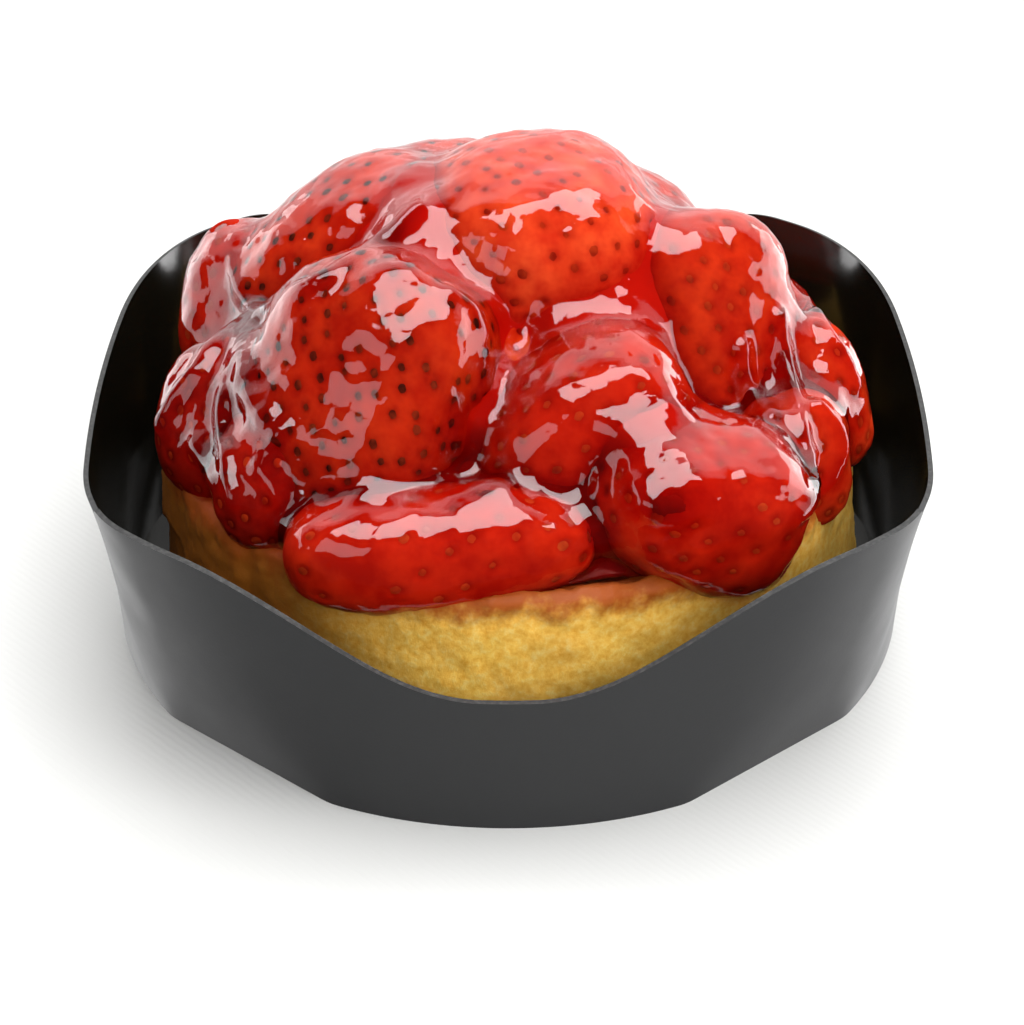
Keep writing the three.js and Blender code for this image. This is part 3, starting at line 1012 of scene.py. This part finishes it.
def makeSkirt(s):  # the glaze that has run out over the top of the crust
    skirt = turnedUp(s["skirtRows"], s["skirtStations"])
    reach = max(radius for radius, height in s["skirtRows"])
    for vertex in skirt.data.vertices:
        angle = math.atan2(vertex.co.x, -vertex.co.y)
        lean = -s["skirtLean"] * math.sin(angle)
        ragged = sum(height * math.sin(count * angle + start) for count, start, height in s["skirtWaves"])
        share = (reach + lean + ragged) / reach
        vertex.co.x *= share
        vertex.co.y *= share
    return skirt


def loose(piece, name):  # a plain copy, off its body
    twin = copyOf(piece, name)
    twin.parent = None
    for key in [key for key in twin.keys() if key.startswith("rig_")]:
        del twin[key]
    twin.data.materials.clear()
    twin.vertex_groups.clear()
    return twin


def closed(shell, voxel, reach, left):  # grown by reach, merged, and shrunk until only left remains
    swell(shell, reach)
    remesh(shell, voxel)
    relax(shell)
    swell(shell, left - reach)
    remesh(shell, voxel)


def makeSwelling(target, facing, radius, thickness, proud, pixel):  # a lens whose top faces that way
    place, normal = spotAt(target, pixel)
    deselectAll()
    bpy.ops.mesh.primitive_ico_sphere_add(subdivisions=4, radius=radius * mm,
                                          location=place - facing * (thickness - proud) * mm,
                                          rotation=facing.to_track_quat("Z", "Y").to_euler())
    swelling = bpy.context.object
    swelling.scale.z = thickness / radius
    settle(swelling)
    return swelling


def loosen(web, s):  # keeps the slack skin where it hangs between the berries, and sinks it elsewhere
    away = []
    for vertex in web.data.vertices:
        pixel = pixelOf(vertex.co)
        held = smoothStep(vertex.co.y / mm, s["slackBehind"], s["slackBehind"] + s["slackEdge"])
        for x, y, radius in glazeWebs:
            distance = (pixel - Vector((x, y))).length
            held = max(held, 1 - smoothStep(distance, radius - s["webEdge"], radius + s["webEdge"]))
        away.append((vertex.index, 1 - held))
    weigh(web, "away", away)
    swell(web, -s["slack"], "away")


def drape(s):  # one skin over the berries, tight in front and slack in the webs
    parts = [loose(piece, "underGlaze") for piece in berryPieces + [jellyDome]]
    tight = joined(parts, "drapedSkin")
    remesh(tight, s["coarse"])
    web = copyOf(tight, "slackSkin")
    closed(tight, s["coarse"], s["tight"], s["film"])
    closed(web, s["coarse"], s["slack"], s["film"])
    loosen(web, s)
    bpy.context.view_layer.update()
    towardsCamera = -cameraAxes(cameraSettings)[1]
    towardsLamp = Vector(lamps["overheadSoftbox"]["towards"]).normalized()
    halfway = (towardsCamera + towardsLamp).normalized()
    facets = [makeSwelling(tight, halfway, *facet) for facet in glazeFacets]
    pools = [makeSwelling(tight, towardsCamera, *pool) for pool in glazePools]
    skin = joined([tight, web] + facets + pools, "drapedSkin")
    remesh(skin, s["coarse"])
    closed(skin, s["coarse"], s["fillet"], 0)
    relax(skin)
    return skin


def makeDepths(s, skin):  # the red that lies under the glaze between the berries: its colour is painted light and shade, the red glow of light scattered in the thick glaze, darkened in the creases
    body = loose(skin, "jelly_between_berries")
    swell(body, -s["depth"])
    remesh(body, s["coarse"])
    relax(body)
    smooth(body)
    return body


def makeGlaze(s, skin):  # the skin with its ridges and its skirt, merged and rippled
    bpy.context.view_layer.update()
    ridges = [makeString(skin, *string) for string in glazeStrings]
    shell = joined([skin] + ridges + [makeSkirt(s)], "strawberry_glaze")
    remesh(shell, s["fine"])
    closed(shell, s["fine"], s["fillet"], 0)
    relax(shell, 5)
    for number, (size, height) in enumerate(s["ripples"]):
        roughen(shell, "ripple" + str(number), size, height, 1)
    smooth(shell)
    return shell


def paintDepths(s):  # the same glaze where it is thick: red all through, darker lower down as painted shade in the creases, and paler higher up
    material, tree = startMaterial("deep red fruit glaze")
    cloud = noiseAt(tree, 6, 3.0, 0.6)
    depth = setStops(addNode(tree, "ValToRGB", {}, {"Fac": cloud.outputs["Fac"]}),
                     [(0.3, "#560504"), (0.7, "#8a0f08")])
    place = addNode(tree, "TexCoord")
    parts = addNode(tree, "SeparateXYZ", {}, {0: place.outputs["Object"]})
    # painted shade: darker red lower down in the creases, paler red higher up
    paleHigher = addNode(tree, "MapRange", {"interpolation_type": "SMOOTHSTEP"}, {
        "Value": parts.outputs["Z"], "From Min": s["darkBelow"] * mm, "From Max": s["paleAbove"] * mm})
    colour = addNode(tree, "Mix", {"data_type": "RGBA"}, {
        0: paleHigher.outputs[0], 6: depth.outputs[0], 7: hexColour("#c4301a")})
    gel = addNode(tree, "BsdfPrincipled", {}, {
        "Base Color": colour.outputs[2], "Roughness": 0.6, "IOR": 1.01})
    addNode(tree, "OutputMaterial", {}, {"Surface": gel.outputs[0]})
    return material


def paintGlaze():  # fruit glaze, set clear: wet gloss over a thin red tint
    material, tree = startMaterial("clear red fruit glaze")
    ripple = noiseAt(tree, 1.6, 2.0, 0.4)
    bump = addNode(tree, "Bump", {}, {"Height": ripple.outputs["Fac"], "Distance": 0.12 * mm,
                                      "Strength": 0.35})
    gel = addNode(tree, "BsdfPrincipled", {}, {
        "Base Color": hexColour("#ffffff"), "Roughness": 0.02, "IOR": 1.45, "Transmission Weight": 1.0,
        "Normal": bump.outputs[0]})
    path = addNode(tree, "LightPath")
    clear = addNode(tree, "BsdfTransparent")
    forBounces = addNode(tree, "MixShader", {}, {
        0: path.outputs["Is Diffuse Ray"], 1: gel.outputs[0], 2: clear.outputs[0]})
    forLamps = addNode(tree, "MixShader", {}, {
        0: path.outputs["Is Shadow Ray"], 1: forBounces.outputs[0], 2: clear.outputs[0]})
    tint = addNode(tree, "VolumeAbsorption", {}, {"Color": hexColour("#eb7359"), "Density": 600.0})
    addNode(tree, "OutputMaterial", {}, {"Surface": forLamps.outputs[0], "Volume": tint.outputs[0]})
    return material


drapedSkin = drape(glaze)
depths = makeDepths(glaze, drapedSkin)
finished(depths, None, paintDepths(glaze))
shell = makeGlaze(glaze, drapedSkin)
finished(shell, None, paintGlaze())
print("glaze made:", len(shell.data.polygons), "faces")
